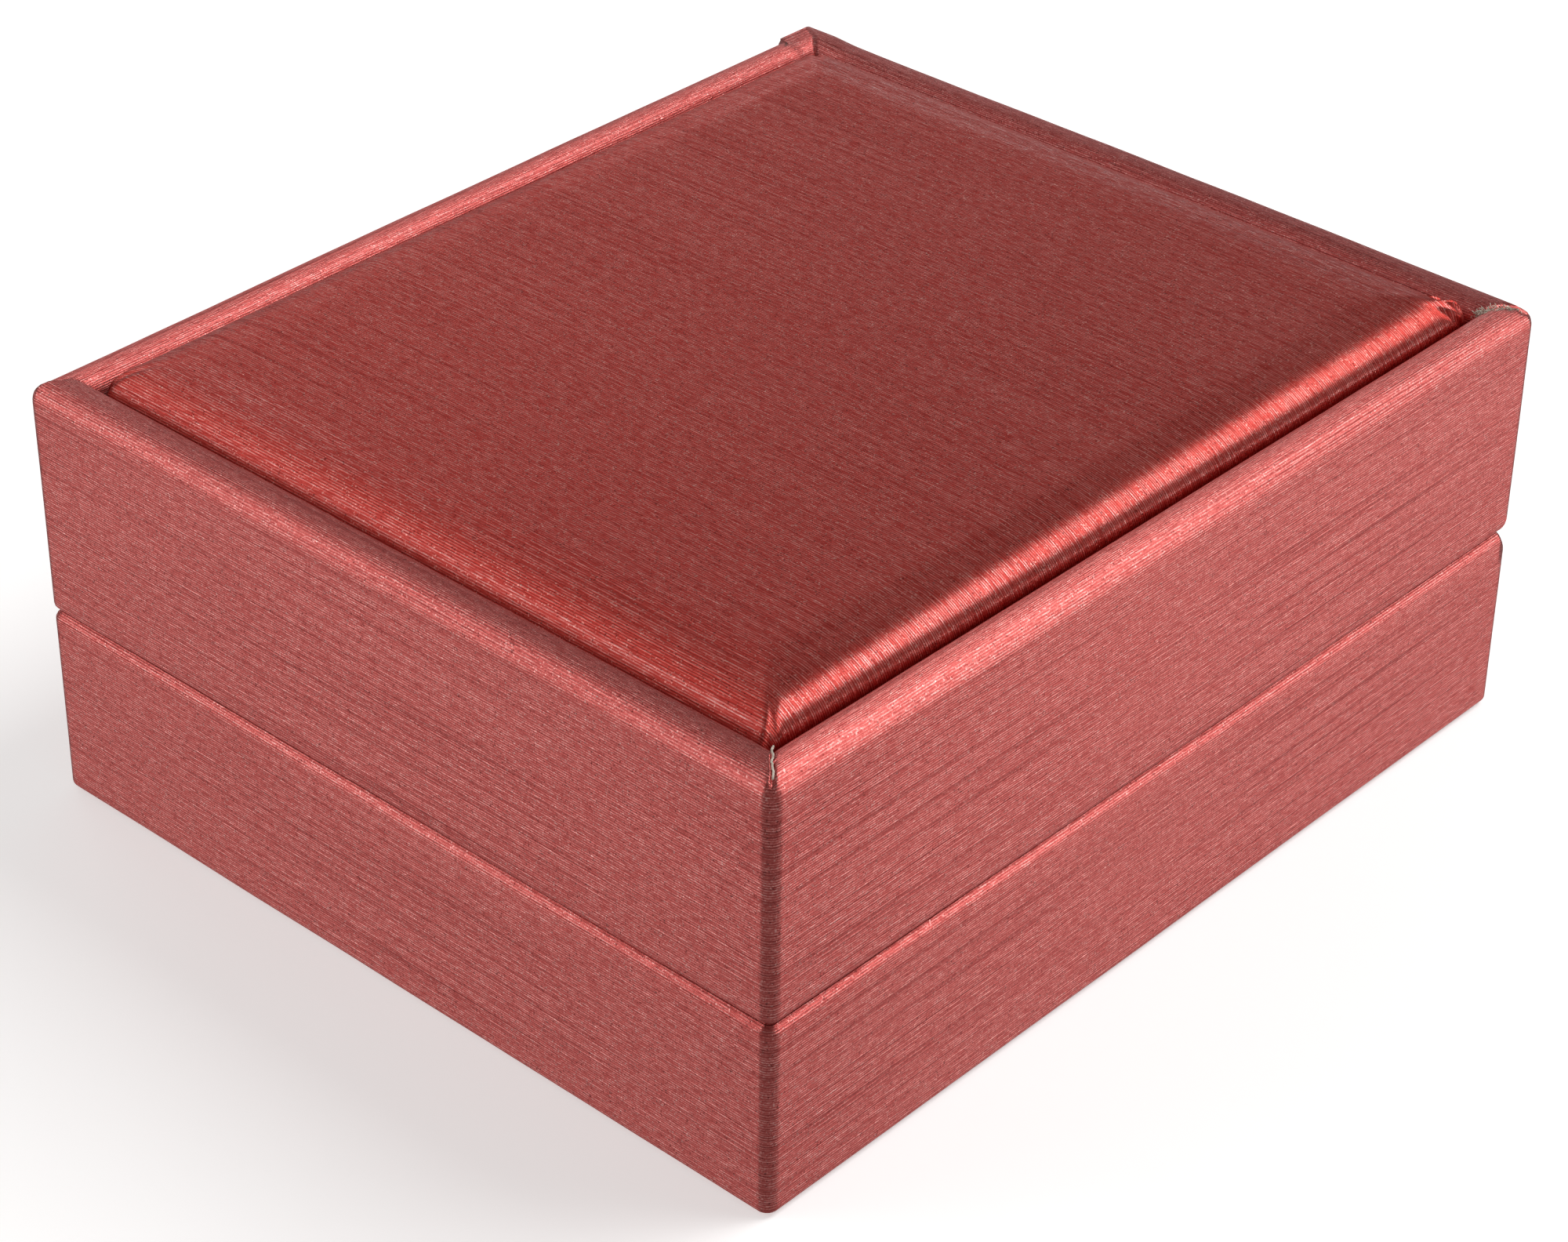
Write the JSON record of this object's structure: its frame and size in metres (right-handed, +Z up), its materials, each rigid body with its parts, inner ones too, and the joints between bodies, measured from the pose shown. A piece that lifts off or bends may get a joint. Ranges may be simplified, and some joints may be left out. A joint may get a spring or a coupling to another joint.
{
  "type": "hinged necklace box",
  "caption": "Leatherette-covered necklace box with a padded hinged lid, spring hinges, satin lining and a velvet lift-out insert.",
  "frame": {"origin": "centre of the box on the plane it stands on", "axes": "+Z up, -Y the front that opens, +Y the hinge side, +X to the right seen from the front"},
  "size_m": [0.09, 0.1044, 0.046],
  "materials": {
    "leatherette": "ribbed metallic copper-red leatherette",
    "board": "raw millboard",
    "foam": "soft foam",
    "satin": "ivory satin",
    "velvet": "ivory velvet",
    "flock": "black flock paper",
    "plated_steel": "pale brass-plated steel",
    "spring_steel": "bare spring steel"
  },
  "bodies": {
    "base": {"base_floor": "board", "base_lining_back": "velvet", "base_rivet_left_1": "plated_steel", "base_rivet_left_2": "plated_steel", "base_rivet_right_1": "plated_steel", "base_rivet_right_2": "plated_steel", "base_wall_back": "board", "base_wall_front": "board", "base_wall_left": "board", "base_wall_right": "board", "base_wrap": "leatherette", "bottom_sheet": "flock", "collar_front": "velvet", "collar_left": "velvet", "collar_right": "velvet", "hinge_base_leaf_left": "plated_steel", "hinge_base_leaf_right": "plated_steel", "hinge_pin_left": "plated_steel", "hinge_pin_right": "plated_steel", "hinge_spring_left": "spring_steel", "hinge_spring_right": "spring_steel"},
    "lid": {"hinge_lid_leaf_left": "plated_steel", "hinge_lid_leaf_right": "plated_steel", "lid_lining_back": "satin", "lid_lining_front": "satin", "lid_lining_left": "satin", "lid_lining_right": "satin", "lid_panel": "board", "lid_rivet_left_1": "plated_steel", "lid_rivet_left_2": "plated_steel", "lid_rivet_right_1": "plated_steel", "lid_rivet_right_2": "plated_steel", "lid_wall_back": "board", "lid_wall_front": "board", "lid_wall_left": "board", "lid_wall_right": "board", "lid_wrap": "leatherette", "lining_board": "board", "lining_foam": "foam", "lining_satin": "satin", "pad_board": "board", "pad_cover": "leatherette", "pad_foam": "foam"},
    "insert": {"insert_board": "board", "insert_foam": "foam", "insert_velvet": "velvet"}
  },
  "joints": [
    {"name": "lid_hinge", "type": "hinge", "parent": "base", "child": "lid", "pos_m": [0, 0.0508, 0.0201], "axis": [-1, 0, 0], "range_deg": [0, 90]},
    {"name": "insert_lift", "type": "slide", "parent": "base", "child": "insert", "axis": [0, 0, 1], "range_m": [0, 0.012]}
  ]
}
